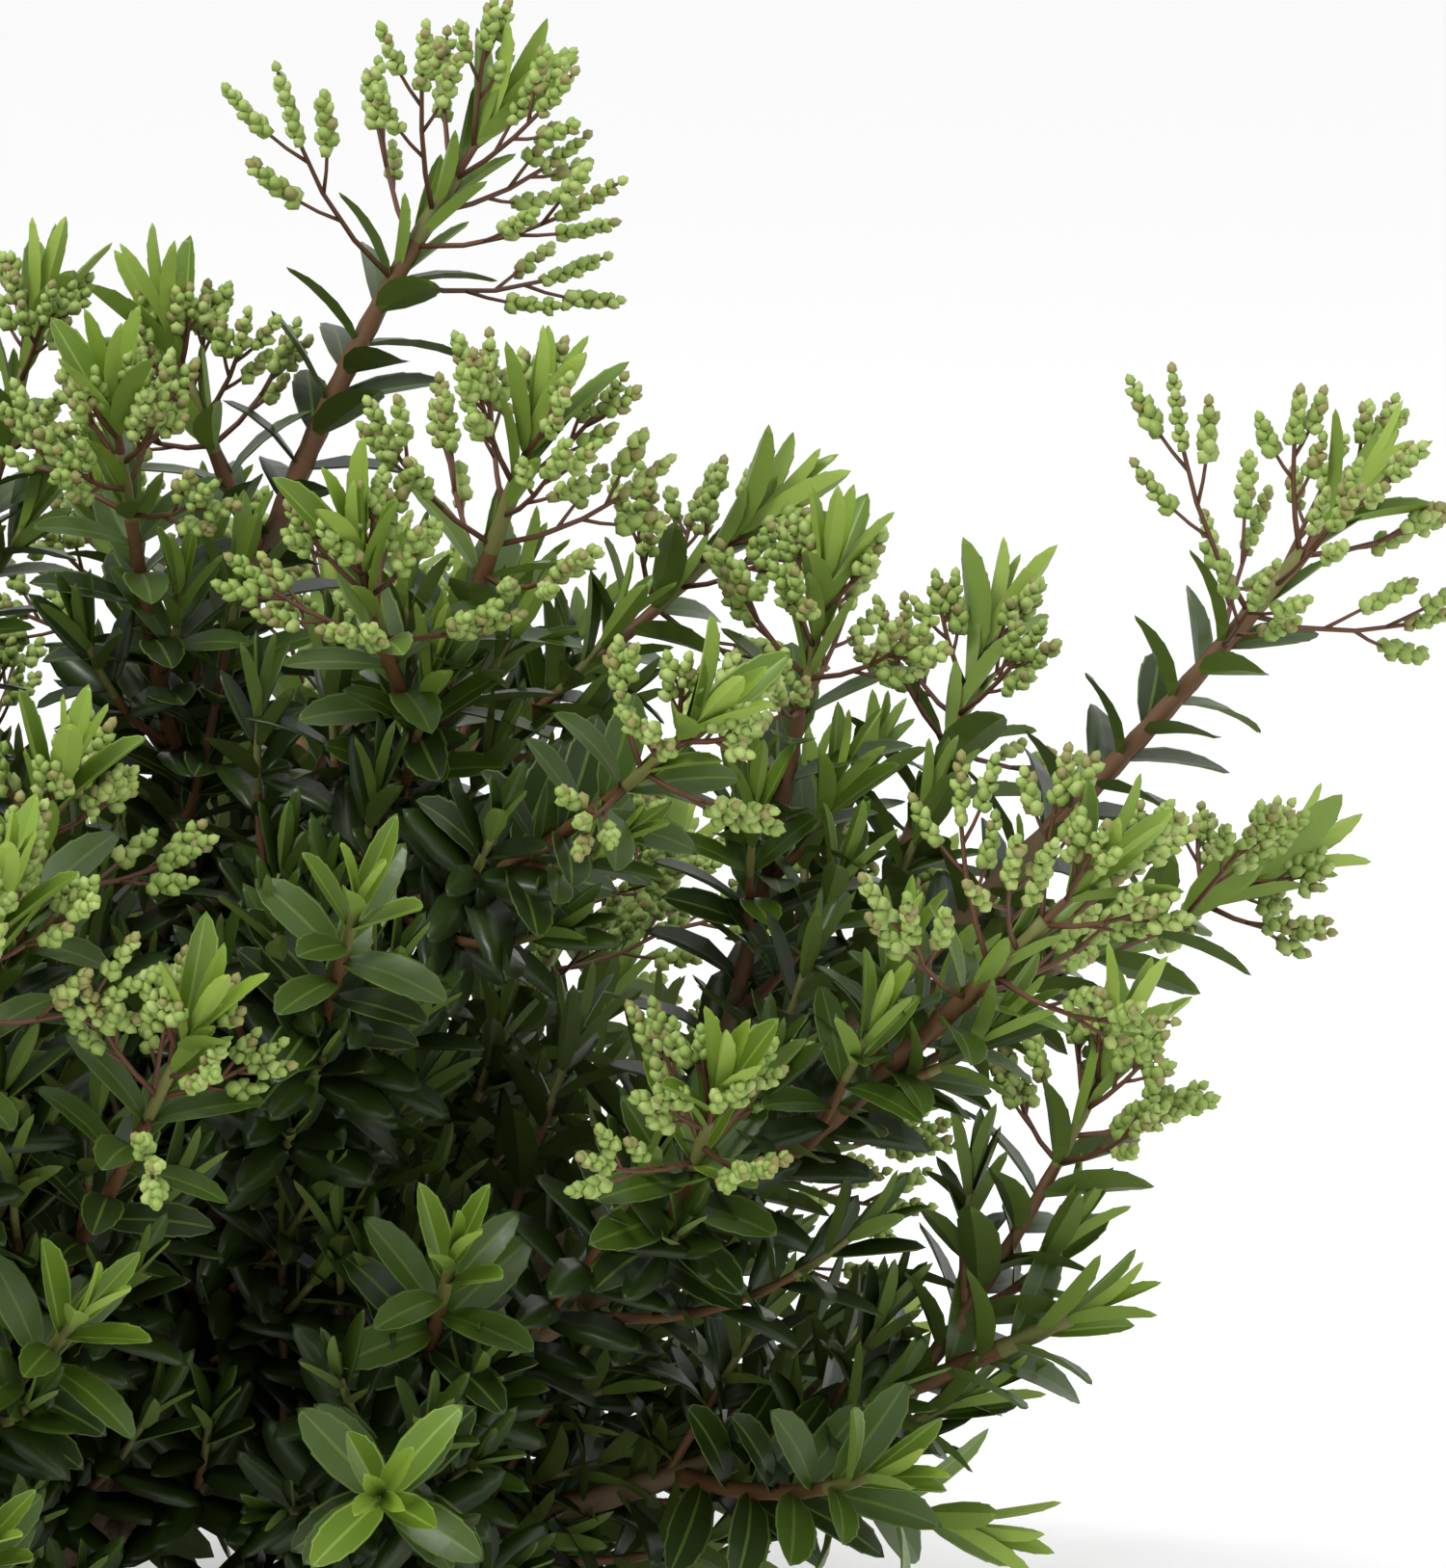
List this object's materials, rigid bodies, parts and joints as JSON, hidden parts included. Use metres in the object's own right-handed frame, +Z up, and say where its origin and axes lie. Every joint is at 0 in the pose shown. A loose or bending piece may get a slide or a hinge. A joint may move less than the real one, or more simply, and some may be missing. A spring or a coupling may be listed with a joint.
{
  "type": "flowering hebe shrub in bud",
  "caption": "Low evergreen shrub with a short woody stem, spreading boughs, paired leaves and clusters of bud spikes on a full rounded crown.",
  "frame": {"origin": "centre of the stem's flat cut at ground level", "axes": "+Z up, away from the ground; -Y towards the side the picture shows; +X to that side's right"},
  "size_m": [0.4152, 0.4307, 0.2733],
  "materials": {
    "bark": "matt red-brown bark with ring scars",
    "foliage": "glossy dark green leaves and pale green buds"
  },
  "bodies": {
    "root": {"stem": "bark", "bough_top_1": "bark", "bough_upper_1": "bark", "bough_upper_2": "bark", "bough_upper_3": "bark", "bough_upper_4": "bark", "bough_middle_1": "bark", "bough_middle_2": "bark", "bough_middle_3": "bark", "bough_middle_4": "bark", "bough_middle_5": "bark", "bough_middle_6": "bark", "bough_lower_1": "bark", "bough_lower_2": "bark", "bough_lower_3": "bark", "bough_lower_4": "bark", "bough_lower_5": "bark", "foliage_top_1": "foliage", "foliage_upper_1": "foliage", "foliage_upper_2": "foliage", "foliage_upper_3": "foliage", "foliage_upper_4": "foliage", "foliage_middle_1": "foliage", "foliage_middle_2": "foliage", "foliage_middle_3": "foliage", "foliage_middle_4": "foliage", "foliage_middle_5": "foliage", "foliage_middle_6": "foliage", "foliage_lower_1": "foliage", "foliage_lower_2": "foliage", "foliage_lower_3": "foliage", "foliage_lower_4": "foliage", "foliage_lower_5": "foliage"}
  },
  "joints": []
}
